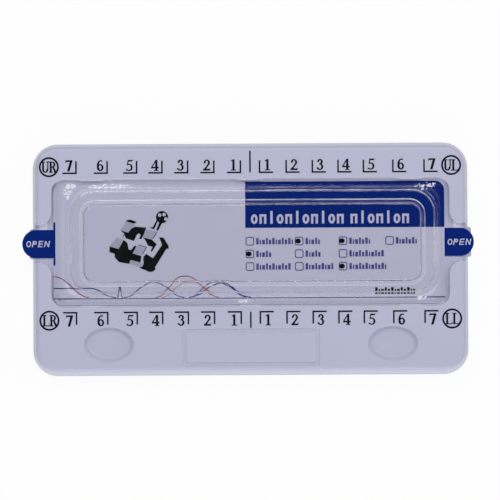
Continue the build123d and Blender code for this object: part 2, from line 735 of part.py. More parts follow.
def wave_line(start, crest_start, crest_end, end, rise):
    """A thin line that swells from the base line to a crest and sinks back to it."""
    base = card_front_y + base_line_rise + line_stroke + wave_stroke / 2
    shares = [step / wave_steps for step in range(wave_steps + 1)]
    swell = []
    if start < crest_start:
        swell = [(start + (crest_start - start) * share, share) for share in shares]
    sink_back = [(crest_end + (end - crest_end) * share, 1 - share) for share in shares]
    path = [(card_left_x + x, base + rise * (1 - cos(pi * share)) / 2) for x, share in swell + sink_back]
    if not swell:
        path.insert(0, (card_left_x, base + rise))
    upper = []
    lower = []
    for place, (x, y) in enumerate(path):
        before = path[max(place - 1, 0)]
        after = path[min(place + 1, len(path) - 1)]
        run = after[0] - before[0]
        climb = after[1] - before[1]
        reach = wave_stroke / 2 / sqrt(run * run + climb * climb)
        upper.append((x - climb * reach, y + run * reach))
        lower.append((x + climb * reach, y - run * reach))
    return (Polygon(*upper, *reversed(lower), align=None) & card_body_plan(0)) - base_line()


def spike():
    """The narrow peak of two straight lines between the first two blue waves."""
    foot = card_front_y + base_line_rise + line_stroke
    left = card_left_x + spike_from_left
    middle = left + spike_length / 2
    rising = stroke((left, foot), (middle, foot + spike_rise), wave_stroke)
    falling = stroke((middle, foot + spike_rise), (left + spike_length, foot), wave_stroke)
    return (rising + falling) - base_line()


def waves():
    """The waves by colour; a later colour is open where it passes under an earlier one."""
    red = Sketch() + [wave_line(*wave) for wave in red_waves]
    orange = (Sketch() + [wave_line(*wave) for wave in orange_waves]) - red
    blue = (Sketch() + [wave_line(*wave) for wave in blue_waves] + spike()) - red - orange
    return {"red": [red], "orange": [orange], "blue": [blue]}


def box_centre(row, column):
    x = card_middle_x + box_columns[column] + box_size / 2
    return x, card_back_y - header_height - boxes_under_header - box_size / 2 - row * box_row_pitch


def caption_marks(left, middle_y, length):
    """A greeked caption: short upright marks of mixed width and height on one line."""
    bottom = middle_y - max(caption_heights) / 2
    end = left + length
    marks = []
    place = 0
    while left < end - min(caption_widths):
        right = min(left + caption_widths[place % len(caption_widths)], end)
        marks.append(patch(left, bottom, right, bottom + caption_heights[place % len(caption_heights)]))
        left = right + caption_letter_gap
        place += 1
    return marks


def tick(row, column):
    x, y = box_centre(row, column)
    return Pos(x - tick_shift, y) * Ellipse(tick_length / 2, tick_height / 2)


def caption_print():
    """The rows of tick boxes, each with a greeked caption beside it."""
    box = RectangleRounded(box_size, box_size, box_corner_radius)
    inner_size = box_size - 2 * box_stroke
    box -= RectangleRounded(inner_size, inner_size, box_corner_radius - box_stroke)
    sketches = []
    for row, columns in enumerate(row_columns):
        for column in range(columns):
            x, y = box_centre(row, column)
            outline = Pos(x, y) * box
            sketches.append(outline - tick(row, column) if (row, column) in ticked_boxes else outline)
            sketches += caption_marks(x + box_size / 2 + caption_gap, y, caption_lengths[row][column])
    return sketches


def picture_outline(points):
    return Polygon(*[(picture_x + x, picture_y + y) for x, y in points], align=None)


def picture_print():
    """The dark sides of the wings, the pad's edge, the thin outlines and the hook with its ball."""
    darks = Sketch() + [picture_outline(points) for points in picture_darks]
    for start, end in picture_lines:
        darks += Pos(picture_x, picture_y) * stroke(start, end, picture_line_stroke)
    ball_x, ball_y = picture_ball_centre
    darks += Pos(picture_x + ball_x, picture_y + ball_y) * Circle(picture_ball)
    for x, y in picture_glints:
        darks -= Pos(picture_x + x, picture_y + y) * Circle(picture_glint)
    return darks


def black_print():
    """Ticks in the boxes, the short note and the dark parts of the bracket picture."""
    ticks = [tick(row, column) for row, column in ticked_boxes]
    note = caption_marks(card_left_x + note_from_left, card_front_y + note_rise, note_length)
    return ticks + note + [picture_print()]


def grey_print():
    """The light faces of the pictured bracket."""
    faces = Sketch() + [picture_outline(points) for points in picture_faces]
    return [faces - picture_print()]


def make_parts():
    parts = {"tray": make_tray()}
    parts["adhesive_strip_upper"] = make_strip(upper_strip_y)
    parts["adhesive_strip_lower"] = make_strip(lower_strip_y)
    upper_row = ("upper", 1, upper_strip_y, upper_bracket_widths)
    lower_row = ("lower", -1, lower_strip_y, lower_bracket_widths)
    for row_name, gingival, row_y, widths in (upper_row, lower_row):
        for side_name, outward in (("right", -1), ("left", 1)):
            for index in range(teeth_with_bracket):
                tooth = index + 1
                bracket = make_bracket(widths[index], tooth in teeth_with_hook, outward, gingival)
                place = Pos(outward * (tooth_marks[index] + digit_from_bar), row_y, strip_top_z)
                parts[f"bracket_{row_name}_{side_name}_{tooth}"] = place * bracket
    parts["tooth_chart_print"] = ink(chart_row(1) + chart_row(-1), tray_height)
    parts["card"] = prism(card_plan(), card_bottom_z, card_thickness)
    parts["card_print_blue"] = ink(blue_print(), card_top_z)
    parts["card_print_captions"] = ink(caption_print(), card_top_z)
    parts["card_print_black"] = ink(black_print(), card_top_z)
    parts["card_print_grey"] = ink(grey_print(), card_top_z)
    parts["card_print_red"] = ink(waves()["red"], card_top_z)
    parts["card_print_orange"] = ink(waves()["orange"], card_top_z)
    parts["lid"] = make_lid()
    return parts


os.makedirs("parts", exist_ok=True)
for name, shape in make_parts().items():
    export_step(shape, f"parts/{name}.step")
print("parts written")
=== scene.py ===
import bpy
import json
import math
from mathutils import Matrix, Vector, noise


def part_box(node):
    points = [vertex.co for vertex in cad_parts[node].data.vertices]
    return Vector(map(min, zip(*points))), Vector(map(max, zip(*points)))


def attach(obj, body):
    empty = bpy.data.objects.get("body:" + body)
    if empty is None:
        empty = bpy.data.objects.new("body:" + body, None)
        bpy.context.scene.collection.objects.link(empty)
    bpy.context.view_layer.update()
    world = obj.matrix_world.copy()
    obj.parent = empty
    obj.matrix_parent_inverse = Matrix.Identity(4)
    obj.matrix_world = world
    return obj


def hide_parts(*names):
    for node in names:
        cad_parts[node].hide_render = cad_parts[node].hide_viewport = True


# A flat white tray seen from straight above: printed card, clear two-step lid, twenty brackets under the card
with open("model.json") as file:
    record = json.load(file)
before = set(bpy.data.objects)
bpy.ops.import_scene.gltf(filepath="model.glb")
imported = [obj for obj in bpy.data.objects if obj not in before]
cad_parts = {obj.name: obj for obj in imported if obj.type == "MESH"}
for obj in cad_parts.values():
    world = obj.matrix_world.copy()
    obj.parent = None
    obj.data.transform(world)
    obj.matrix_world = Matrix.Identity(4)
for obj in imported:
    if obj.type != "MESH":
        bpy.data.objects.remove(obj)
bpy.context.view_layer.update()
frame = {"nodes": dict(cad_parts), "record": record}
nodes = frame["nodes"]
mm = 0.001
print("frame loaded:", len(nodes), "nodes")


class Flow:
    # A socket in the tree of a material or the world. Sums and products written on it become Math nodes.
    def __init__(self, tree, socket=None):
        self.tree = tree
        self.socket = socket

    def node(self, kind, settings=None, inputs=None, output=0):
        made = self.tree.nodes.new("ShaderNode" + kind)
        for name, value in (settings or {}).items():
            setattr(made, name, value)
        for name, value in (inputs or {}).items():
            if isinstance(value, Flow):
                self.tree.links.new(value.socket, made.inputs[name])
            else:
                made.inputs[name].default_value = value
        return Flow(self.tree, made.outputs[output])

    def maths(self, operation, first, second):
        return self.node("Math", {"operation": operation}, {0: first, 1: second})

    def __add__(self, other):
        return self.maths("ADD", self, other)

    def __sub__(self, other):
        return self.maths("SUBTRACT", self, other)

    def __rsub__(self, other):
        return self.maths("SUBTRACT", other, self)

    def __mul__(self, other):
        return self.maths("MULTIPLY", self, other)

    def __truediv__(self, other):
        return self.maths("DIVIDE", self, other)

    def __rtruediv__(self, other):
        return self.maths("DIVIDE", other, self)

    def __pow__(self, other):
        return self.maths("POWER", self, other)

    def __rpow__(self, other):
        return self.maths("POWER", other, self)

    __radd__ = __add__
    __rmul__ = __mul__

    @property
    def x(self):
        return self.node("SeparateXYZ", None, {0: self}, output="X")

    @property
    def y(self):
        return self.node("SeparateXYZ", None, {0: self}, output="Y")

    @property
    def z(self):
        return self.node("SeparateXYZ", None, {0: self}, output="Z")

    def magnitude(self):
        return self.maths("ABSOLUTE", self, 0.0)

    def atLeast(self, low):
        return self.maths("MAXIMUM", self, low)

    def atMost(self, high):
        return self.maths("MINIMUM", self, high)

    def between(self, limits, unit=1.0):
        # 0 below the first limit, 1 above the second, smooth between the two
        return self.node("MapRange", {"interpolation_type": "SMOOTHSTEP"},
                         {"Value": self, "From Min": limits[0] * unit, "From Max": limits[1] * unit})

    def colours(self, dark, light):
        # sockets 6 and 7 are a Mix node's two colours, and its output 2 is their mix
        return self.node("Mix", {"data_type": "RGBA"}, {0: self, 6: dark, 7: light}, output=2)

    def shaders(self, first, second):
        return self.node("MixShader", None, {0: self, 1: first, 2: second})

    def cloud(self, scale, detail=2.0, roughness=0.5):
        return self.node("TexNoise", None, {"Vector": self, "Scale": scale, "Detail": detail,
                                            "Roughness": roughness})

    def stretched(self, amounts):
        return self.node("VectorMath", {"operation": "MULTIPLY"}, {0: self, 1: amounts})

    def raised(self, depth, under=None):
        inputs = {"Height": self, "Distance": depth}
        if under:
            inputs["Normal"] = under
        return self.node("Bump", None, inputs)

    def ray(self, kind):
        return self.node("LightPath", output="Is " + kind + " Ray")


def startMaterial(name):
    material = bpy.data.materials.new(name)
    material.use_nodes = True
    material.node_tree.nodes.clear()
    start = Flow(material.node_tree)
    return material, start, start.node("TexCoord", output="Object")


def endMaterial(material, shader):
    last = material.node_tree.nodes.new("ShaderNodeOutputMaterial")
    material.node_tree.links.new(shader.socket, last.inputs["Surface"])
    return material


def tinted(colour, amount=1.0):
    return tuple(channel * amount for channel in colour) + (1.0,)


def darkAndLight(colour, shade):
    return tinted(colour, 1 - shade), tinted(colour, 1 + shade)


# Formed white sheet: the tray. A pair says where a change of look starts and where it is full.
# Places are millimetres from the frame's middle, and heights are millimetres above its floor.
trayLook = {
    "colour": (0.475, 0.486, 0.640),
    "shade": 0.035,  # how much the colour drifts over the sheet
    "driftScale": 38,
    "driftShare": 0.7,
    "speckScale": 2600,
    "roughness": 0.36,
    "speckRoughness": 0.10,
    "rubStretch": (60, 900, 300),
    "rubEdges": (0.52, 0.72),
    "rubRoughness": 0.06,
    "pebbleScale": 1500,
    "pebble": 0.012 * mm,  # height of the fine orange peel
    "waveScale": 55,
    "wave": 0.05 * mm,  # height of the slow waves that forming leaves
    "bending": 1.49,  # how the sheet bends light
    "frontRecessPaintedLight": (0.610, 0.606, 0.740),  # painted light: the walls and ledge round the card get a lighter colour than their shade
    "rearRecessPaintedLight": (0.770, 0.762, 0.890),
    "recessTurn": (4.0, 14.0),  # from the front painted light to the lighter rear one
    "recessFront": (-16.2, -15.8),
    "recessBack": (27.0, 27.6),
    "recessEnds": (61.5, 62.5),
    "recessFloor": (6.0, 6.5),
    "recessTop": (9.3, 9.9),
    "notchStart": (64.6, 65.2),
    "notchEnd": (68.0, 68.5),
    "notchTurn": (3.0, 9.0),  # the painted light is weaker in the front half of a notch than in the rear half
    "notchFront": 0.25,
    "tongue": 0.716,  # how far the tongues under the tabs stand out of the foot
    "footCorner": 8.0,
    "skirtEdge": (-2.9, -1.3),  # from the foot's outline
    "skirtPaintedShade": 0.86,  # painted shade: the skirt round the foot is given a darker colour
}


def roundedDistance(place, edges, corner):
    # Metres from a rounded rectangle's outline: below 0 inside it, above 0 outside
    left, right, front, back = [edge * mm for edge in edges]
    reach = corner * mm
    overX = (place.x - (left + right) / 2).magnitude() - ((right - left) / 2 - reach)
    overY = (place.y - (front + back) / 2).magnitude() - ((back - front) / 2 - reach)
    outsideX = overX.atLeast(0.0)
    outsideY = overY.atLeast(0.0)
    return (outsideX * outsideX + outsideY * outsideY) ** 0.5 + overX.atLeast(overY).atMost(0.0) - reach


def paintedRecessLightMask(place):
    # Where the recess gets painted light: 1 on the long walls and the ledge, less in the notches, 0 on the
    # deck, dimples and skirt
    look = trayLook
    fromMiddle = place.x.magnitude()
    notches = fromMiddle.between(look["notchStart"], mm) * (1.0 - fromMiddle.between(look["notchEnd"], mm))
    rear = place.y.between(look["notchTurn"], mm)
    notches = notches * (look["notchFront"] + (1.0 - look["notchFront"]) * rear)
    long = (1.0 - fromMiddle.between(look["recessEnds"], mm)).atLeast(notches)
    wide = (1.0 - place.y.between(look["recessBack"], mm)) * place.y.between(look["recessFront"], mm)
    low = 1.0 - place.z.between(look["recessTop"], mm)
    return long * wide * low * place.z.between(look["recessFloor"], mm)


def footDistance(place):
    low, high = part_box("tray")
    tongue = trayLook["tongue"]
    edges = (low.x / mm + tongue, high.x / mm - tongue, low.y / mm, high.y / mm)
    return roundedDistance(place, edges, trayLook["footCorner"])


def trayMaterial():
    look = trayLook
    material, start, place = startMaterial("formedWhite")
    drift = place.cloud(look["driftScale"], 3)
    speck = place.cloud(look["speckScale"], 2)
    rub = place.stretched(look["rubStretch"]).cloud(1.0, 3)
    pebble = place.cloud(look["pebbleScale"], 2.5)
    wave = place.cloud(look["waveScale"], 1)
    mottle = look["driftShare"] * drift + (1.0 - look["driftShare"]) * speck
    tone = mottle.colours(*darkAndLight(look["colour"], look["shade"]))
    # painted light: the recess walls and ledge take a lighter colour, lightest towards the rear
    rear = place.y.between(look["recessTurn"], mm)
    walls = rear.colours(tinted(look["frontRecessPaintedLight"]), tinted(look["rearRecessPaintedLight"]))
    deck = paintedRecessLightMask(place).colours(tone, walls)
    # painted shade: the sheet near the foot's outline, the skirt, is darker
    skirt = footDistance(place).between(look["skirtEdge"], mm)
    colour = skirt.colours(deck, tinted(look["colour"], look["skirtPaintedShade"]))
    roughness = look["roughness"] + look["speckRoughness"] * (speck - 0.5)
    roughness = roughness + look["rubRoughness"] * rub.between(look["rubEdges"])
    normal = pebble.raised(look["pebble"], under=wave.raised(look["wave"]))
    shader = start.node("BsdfPrincipled", None, {
        "Base Color": colour, "Roughness": roughness, "Normal": normal, "IOR": look["bending"]})
    return endMaterial(material, shader)


# Coated board and its inks
cardLook = {
    "colour": (0.500, 0.494, 0.640),
    "shade": 0.035,
    "cloudScale": 120,
    "fibreStretch": (900, 2600, 900),
    "fibreShare": 0.5,
    "fibre": 0.006 * mm,
    "roughness": 0.42,
    "fibreRoughness": 0.12,
}


def cardMaterial():
    look = cardLook
    material, start, place = startMaterial("coatedBoard")
    fibre = place.stretched(look["fibreStretch"]).cloud(1.0, 4, 0.6)
    mottle = look["fibreShare"] * fibre + (1.0 - look["fibreShare"]) * place.cloud(look["cloudScale"], 3)
    shader = start.node("BsdfPrincipled", None, {
        "Base Color": mottle.colours(*darkAndLight(look["colour"], look["shade"])),
        "Roughness": look["roughness"] + look["fibreRoughness"] * (fibre - 0.5),
        "Normal": fibre.raised(look["fibre"])})
    return endMaterial(material, shader)


# Each ink by its material slot. A lower value of pinholes lets more of the thin colour through.
inkLooks = {
    "chart_ink": {"colour": (0.004, 0.004, 0.012), "thin": (0.03, 0.03, 0.06),
                  "roughness": 0.55, "pinholes": 0.74},
    "ink_blue": {"colour": (0.0003, 0.0150, 0.166), "thin": (0.002, 0.020, 0.19),
                 "roughness": 0.5, "pinholes": 0.8},
    "ink_captions": {"colour": (0.060, 0.062, 0.230), "thin": (0.14, 0.14, 0.34),
                     "roughness": 0.4, "pinholes": 0.66},
    "ink_black": {"colour": (0.004, 0.0045, 0.005), "thin": (0.014, 0.015, 0.02),
                  "roughness": 0.55, "pinholes": 0.76},
    "ink_grey": {"colour": (0.36, 0.36, 0.48), "thin": (0.42, 0.42, 0.55),
                 "roughness": 0.4, "pinholes": 0.66},
    "ink_red": {"colour": (0.255, 0.070, 0.130), "thin": (0.36, 0.16, 0.24),
                "roughness": 0.4, "pinholes": 0.68},
    "ink_orange": {"colour": (0.42, 0.25, 0.18), "thin": (0.46, 0.33, 0.30),
                   "roughness": 0.4, "pinholes": 0.68},
}
printLook = {
    "mottleScale": 420,
    "grainScale": 7000,
    "grainEdges": (0.55, 0.8),
    "filmScale": 60,
    "softness": 0.2,  # how gently a pinhole's edge fades
    "pinholeShare": 0.5,
    "grainShare": 0.2,
    "filmRoughness": 0.15,
    "grainRoughness": 0.1,
    "grain": 0.004 * mm,
    "shine": 0.05,
}


def inkMaterial(slotName):
    look = inkLooks[slotName]
    material, start, place = startMaterial(slotName + "Print")
    grain = place.cloud(printLook["grainScale"], 2)
    film = place.cloud(printLook["filmScale"], 2)
    pinholes = place.cloud(printLook["mottleScale"], 4, 0.65).between(
        (look["pinholes"] - printLook["softness"], look["pinholes"]))
    flecks = grain.between(printLook["grainEdges"])
    thin = printLook["pinholeShare"] * pinholes + printLook["grainShare"] * flecks
    roughness = look["roughness"] + printLook["filmRoughness"] * (film - 0.5)
    shader = start.node("BsdfPrincipled", None, {
        "Base Color": thin.colours(tinted(look["colour"]), tinted(look["thin"])),
        "Roughness": roughness + printLook["grainRoughness"] * (grain - 0.5),
        "Normal": grain.raised(printLook["grain"]), "Specular IOR Level": printLook["shine"]})
    return endMaterial(material, shader)


# Cast steel of the brackets
steelLook = {
    "colour": (0.60, 0.59, 0.58),
    "dull": (0.46, 0.45, 0.45),
    "tumbleScale": 1400,
    "tumbleShare": 0.6,
    "grainScale": 9000,
    "grain": 0.006 * mm,
    "brushStretch": (900, 14000, 14000),
    "brush": 0.003 * mm,
    "roughness": 0.26,
    "brushRoughness": 0.16,
    "grainRoughness": 0.1,
}


def steelMaterial():
    look = steelLook
    material, start, place = startMaterial("castSteel")
    grain = place.cloud(look["grainScale"], 3)
    tumbled = place.cloud(look["tumbleScale"], 2)
    brushed = place.stretched(look["brushStretch"]).cloud(1.0, 2)
    mottle = look["tumbleShare"] * tumbled + (1.0 - look["tumbleShare"]) * grain
    roughness = look["roughness"] + look["brushRoughness"] * (brushed - 0.5)
    shader = start.node("BsdfPrincipled", None, {
        "Base Color": mottle.colours(tinted(look["dull"]), tinted(look["colour"])),
        "Metallic": 1.0, "Roughness": roughness + look["grainRoughness"] * grain,
        "Normal": grain.raised(look["grain"], under=brushed.raised(look["brush"]))})
    return endMaterial(material, shader)


# Foam tape that the brackets stand on
foamLook = {
    "colour": (0.72, 0.71, 0.69),
    "darkCell": 0.86,
    "lightCell": 1.06,
    "cellScale": 3200,
    "cellShare": 0.5,
    "cell": 0.05 * mm,
    "pressScale": 260,
    "press": 0.03 * mm,
    "roughness": 0.8,
    "pressRoughness": 0.1,
}


def foamMaterial():
    look = foamLook
    material, start, place = startMaterial("foamTape")
    cells = place.node("TexVoronoi", {"feature": "F1"}, {"Vector": place, "Scale": look["cellScale"]})
    pressed = place.cloud(look["pressScale"], 3)
    mottle = look["cellShare"] * cells + (1.0 - look["cellShare"]) * pressed
    dark = tinted(look["colour"], look["darkCell"])
    light = tinted(look["colour"], look["lightCell"])
    shader = start.node("BsdfPrincipled", None, {
        "Base Color": mottle.colours(dark, light),
        "Roughness": look["roughness"] + look["pressRoughness"] * (pressed - 0.5),
        "Normal": cells.raised(look["cell"], under=pressed.raised(look["press"]))})
    return endMaterial(material, shader)


print("materials of the solids")
finishes = {
    "tray_white": trayMaterial(),
    "card_board": cardMaterial(),
    "bracket_steel": steelMaterial(),
    "adhesive_foam": foamMaterial(),
}
for slotName in inkLooks:
    finishes[slotName] = inkMaterial(slotName)
for part in frame["record"]["subparts"]:
    if part["material_slot"] in finishes:
        for materialSlot in nodes[part["node"]].material_slots:
            materialSlot.material = finishes[part["material_slot"]]


# The clear lid, drawn from the outside in as rounded rings. Its plain sizes and places are millimetres.
lidLook = {
    "skin": 0.35,
    "innerShare": 0.8,  # share of the skin by which the underside's rings are smaller
    "rimCorner": 2.65,
    "rimProfile": ((0.0, 0.16), (0.12, 0.5), (0.4, 0.9), (0.8, 1.0)),  # inset, and share of the skin's height
    "stepInsets": (4.3, 1.9, 2.5, 1.65),  # left, right, front and back, from the rim's edge
    "stepCorner": 8.2,
    "stepHeight": 1.4,
    "stepSeed": 1.0,
    "windowInsets": (8.25, 6.05, 5.65, 5.65),
    "windowCorner": 4.8,
    "windowHeight": 1.9,
    "windowSeed": 21.0,
    "draft": 30.0,
    "footRadius": 0.3,
    "footFlat": 0.25,  # flat strip before each wall's foot
    "ridgeRadius": 0.34,
    "ridgeStart": -0.15,  # where a top bend starts and its flat begins, in ridge radii from the wall
    "ridgeFlat": 1.4,
    "ridgeWobble": 0.35,  # share by which a ridge's radius grows and shrinks along its run
    "slowWobble": (0.11, 0.9),  # how much it changes in a millimetre, and its share
    "quickWobble": (0.55, 0.8),
    "troughShare": 0.6,  # how near the ring between step and window lies to the window
    "troughDip": 0.03,
    "troughWarp": 0.06,
    "panelRings": (2.4, 4.0, 6.0, 8.0, 10.0, 12.0),  # insets of the rings that the window's warp follows
    "leastCorner": 0.3,
    "cornerLoss": 0.4,  # share of a ring's inset that its corner gives up
    "panelWarp": 0.07,
    "panelPace": (0.05, 0.08),
    "panelSeed": 3.0,
    "longPoints": 150,
    "shortPoints": 48,
    "cornerPoints": 12,
    "footPoints": 2,
    "roundPoints": 5,
    "colour": (0.965, 0.972, 0.985),
    "through": (0.960, 0.962, 0.968),  # tint of the light that passes to what lies under it
    "bending": 1.5,
    "roughness": 0.03,
    "scuffStretch": (2200, 260, 400),
    "scuffEdges": (0.60, 0.74),
    "scuffRoughness": 0.05,
    "rippleScale": 140,
    "ripple": 0.05 * mm,
    "fineScale": 1100,
    "fine": 0.004 * mm,
    "fineRoughness": 0.02,
    "feather": (-1.0, -0.45),  # the rim's cut edge fades out here, so that it shows no bright outline
    "creaseHighlight": (0.80, 0.80, 0.88),  # painted highlight: white colour along the bends, standing in for light caught on them
    "sideCreaseHighlight": (0.50, 0.49, 0.66),  # the same painted highlight on the two short sides, greyer and fainter there
    "creaseRoughness": 0.35,
    "creaseGrain": 0.1,
    "creaseWidth": 0.22,
    "creaseCore": 0.15,  # share of that width that is at full strength
    "creaseFoot": 0.1,
    # how strong the painted highlight lines are: foot and top edge of the step, foot and top edge of the
    # window
    "creaseShares": (0.12, 0.42, 0.55, 0.15),
    "creaseBreaks": (0.42, 0.60),
    "breakStretch": (70, 260, 0),
    "breakScale": 90,
    "breakShare": 0.6,
    "creaseFaintest": 0.25,
    "sparkStretch": (420, 900, 0),
    "sparkRange": (0.8, 0.5),  # least strength of a line, and what the sparks add
    "middle": 0.3,
    "shortSides": (53.5, 57.0),  # from that middle
    "shortSideShare": 0.42,
    "front": (-2.0, 10.0),
    "frontShare": 0.42,
    # painted glints on the rim: x, y and reach of each white spot, and how full it is
    "paintedGlints": ((-63.2, 23.2, 1.5, 1.5, 1.0), (-57.4, 23.4, 2.4, 1.3, 0.9), (-58.4, 21.2, 2.2, 2.6, 0.7),
               (-45.0, 23.2, 11.0, 1.3, 0.62), (56.4, 22.9, 4.6, 1.7, 0.6),
               (-1.8, -13.8, 3.4, 1.2, 0.75), (54.5, -12.8, 2.6, 1.0, 0.75)),
    "spotEdges": (0.2, 1.0),
    "glintNoiseStretch": (900, 1500, 0),
    "glintGrowth": 0.34,
    "glintEdges": (0.68, 0.76),
    "glintFade": (0.0, 0.3),
    "glintStrength": 0.9,
}


def lidOutline(insets, corner):
    # Middles of the corner circles of one rounded rectangle inside the lid's rim: left, right, front, back
    low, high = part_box("lid")
    return (low.x / mm + insets[0] + corner, high.x / mm - insets[1] - corner,
            low.y / mm + insets[2] + corner, high.y / mm - insets[3] - corner)


def ringPoints(insets, corner):
    # One rounded rectangle as points, each with its outward direction
    left, right, front, back = lidOutline(insets, corner)
    middles = [(right, front, -90), (right, back, 0), (left, back, 90), (left, front, 180)]
    points = []
    for index, (x, y, turn) in enumerate(middles):
        for step in range(lidLook["cornerPoints"] + 1):
            angle = math.radians(turn + 90 * step / lidLook["cornerPoints"])
            out = Vector((math.cos(angle), math.sin(angle)))
            points.append((Vector((x, y)) + out * corner, out))
        nextX, nextY = middles[(index + 1) % 4][:2]
        out = Vector((math.cos(math.radians(turn + 90)), math.sin(math.radians(turn + 90))))
        count = lidLook["shortPoints"] if index % 2 == 0 else lidLook["longPoints"]
        for step in range(1, count):
            along = Vector((x, y)).lerp(Vector((nextX, nextY)), step / count)
            points.append((along + out * corner, out))
    return points


def ridgeSize(x, y, seed):
    slowPace, slowShare = lidLook["slowWobble"]
    quickPace, quickShare = lidLook["quickWobble"]
    slow = noise.noise(Vector((x * slowPace, y * slowPace, seed)))
    quick = noise.noise(Vector((x * quickPace, y * quickPace, seed + 7)))
    return 1 + lidLook["ridgeWobble"] * (slowShare * slow + quickShare * quick)


def lidRow(points, inset, z, radius=0.0, share=(0.0, 0.0), seed=0, warp=0.0):
    # One ring as a row of corners. share says how far the local ridge radius moves it inwards and down.
    paceX, paceY = lidLook["panelPace"]
    row = []
    for point, out in points:
        size = radius * ridgeSize(point.x, point.y, seed) if radius else 0.0
        level = z - size * share[1]
        if warp:
            level += warp * noise.noise(Vector((point.x * paceX, point.y * paceY, lidLook["panelSeed"])))
        where = point - out * (inset + size * share[0])
        row.append(Vector((where.x, where.y, level)))
    return row


def wallRows(insets, corner, bottom, height, seed):
    # One leaning wall of the lid, with a round at its foot and a ridge along its top
    look = lidLook
    lean = math.tan(math.radians(look["draft"]))
    foot = look["footRadius"]
    points = ringPoints(insets, corner)
    rows = [lidRow(points, -foot - look["footFlat"], bottom)]
    for step in range(look["footPoints"] + 1):
        turned = step / look["footPoints"]
        angle = math.radians(90 * turned)
        outwards = foot * (1 - math.sin(angle)) - lean * foot * turned
        rows.append(lidRow(points, -outwards, bottom + foot * (1 - math.cos(angle))))
    top = bottom + height
    for step in range(look["roundPoints"] + 1):
        angle = math.radians(90 * step / look["roundPoints"])
        share = (1 - math.cos(angle) + look["ridgeStart"], 1 - math.sin(angle))
        rows.append(lidRow(points, lean * height, top, look["ridgeRadius"], share, seed))
    rows.append(lidRow(points, lean * height, top, look["ridgeRadius"], (look["ridgeFlat"], 0.0), seed))
    return rows


def lidRings():
    # The outside of the lid from its rim to its middle, as rows of corners
    look = lidLook
    rim = ringPoints((0, 0, 0, 0), look["rimCorner"])
    rows = [lidRow(rim, inset, look["skin"] * share) for inset, share in look["rimProfile"]]
    rows += wallRows(look["stepInsets"], look["stepCorner"], look["skin"], look["stepHeight"],
                     look["stepSeed"])
    stepTop = look["skin"] + look["stepHeight"]
    share = look["troughShare"]
    troughInsets = [(1 - share) * outer + share * inner
                    for outer, inner in zip(look["stepInsets"], look["windowInsets"])]
    trough = ringPoints(troughInsets, (look["stepCorner"] + look["windowCorner"]) / 2)
    rows.append(lidRow(trough, 0, stepTop - look["troughDip"], warp=look["troughWarp"]))
    rows += wallRows(look["windowInsets"], look["windowCorner"], stepTop, look["windowHeight"],
                     look["windowSeed"])
    panelTop = stepTop + look["windowHeight"] - look["panelWarp"]
    for extra in look["panelRings"]:
        insets = [inset + extra for inset in look["windowInsets"]]
        corner = max(look["leastCorner"], look["windowCorner"] - look["cornerLoss"] * extra)
        rows.append(lidRow(ringPoints(insets, corner), 0, panelTop, warp=look["panelWarp"]))
    return rows


def undersideRow(row):
    # The same row on the inside of the sheet
    skin = lidLook["skin"]
    inwards = lidLook["innerShare"] * skin
    inner = []
    for point, nearby in zip(row, row[1:] + row[:1]):
        along = nearby - point
        out = Vector((along.y, -along.x)).normalized()
        inner.append(Vector((point.x - out.x * inwards, point.y - out.y * inwards, max(0.0, point.z - skin))))
    return inner


def bandFaces(first, second, count):
    return [(first * count + index, first * count + (index + 1) % count,
             second * count + (index + 1) % count, second * count + index) for index in range(count)]


def buildLid():
    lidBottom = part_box("lid")[0].z / mm
    outside = lidRings()
    rim = outside[0]
    under = [[Vector((point.x, point.y, 0.0)) for point in rim]]
    under += [undersideRow(row) for row in outside[len(lidLook["rimProfile"]):]]
    count = len(rim)
    layers = len(outside)
    last = layers + len(under) - 1
    corners = []
    for row in outside + under:
        corners += [(point.x * mm, point.y * mm, (point.z + lidBottom) * mm) for point in row]
    faces = []
    for row in range(layers - 1):
        faces += bandFaces(row, row + 1, count)
    for row in range(layers, last):
        faces += bandFaces(row + 1, row, count)
    faces += bandFaces(layers, 0, count)
    faces.append(tuple((layers - 1) * count + index for index in range(count)))
    faces.append(tuple(last * count + index for index in reversed(range(count))))
    mesh = bpy.data.meshes.new("clearLid")
    mesh.from_pydata(corners, [], faces)
    mesh.validate()
    mesh.shade_smooth()
    lid = bpy.data.objects.new("clearLid", mesh)
    bpy.context.scene.collection.objects.link(lid)
    return lid


def outlineDistance(place, insets, corner):
    left, right, front, back = lidOutline(insets, corner)
    return roundedDistance(place, (left - corner, right + corner, front - corner, back + corner), corner)


def shortSides(place):
    return (place.x - lidLook["middle"] * mm).magnitude().between(lidLook["shortSides"], mm)


def creaseHighlightMask(place):
    # Painted highlights: white lines along the bends, broken up along their run, weak on the short sides and
    # at the front
    look = lidLook
    lean = math.tan(math.radians(look["draft"]))
    step = outlineDistance(place, look["stepInsets"], look["stepCorner"])
    window = outlineDistance(place, look["windowInsets"], look["windowCorner"])
    bends = ((step, look["creaseFoot"]), (step, -lean * look["stepHeight"]),
             (window, look["creaseFoot"]), (window, -lean * look["windowHeight"]))
    width = (look["creaseCore"] * look["creaseWidth"], look["creaseWidth"])
    broken = place.stretched(look["breakStretch"]).cloud(1.0, 3, 0.6)
    sparks = place.stretched(look["sparkStretch"]).cloud(1.0, 2)
    sparkLeast, sparkMore = look["sparkRange"]
    mask = None
    for number, ((distance, at), share) in enumerate(zip(bends, look["creaseShares"])):
        # each line has its own breaks, from the same cloud stretched a little more
        own = place.stretched((1.0 + 0.13 * number, 1.0 + 0.5 * number, 1.0)).cloud(look["breakScale"], 3)
        run = (look["breakShare"] * broken + (1.0 - look["breakShare"]) * own).between(look["creaseBreaks"])
        near = 1.0 - (distance - at * mm).magnitude().between(width, mm)
        line = near * (look["creaseFaintest"] + (1.0 - look["creaseFaintest"]) * run) * share
        mask = mask.atLeast(line) if mask else line
    front = 1.0 - place.y.between(look["front"], mm)
    weight = 1.0 - (1.0 - look["shortSideShare"]) * shortSides(place)
    weight = weight * (1.0 - (1.0 - look["frontShare"]) * front)
    return mask * weight * (sparkLeast + sparkMore * sparks)


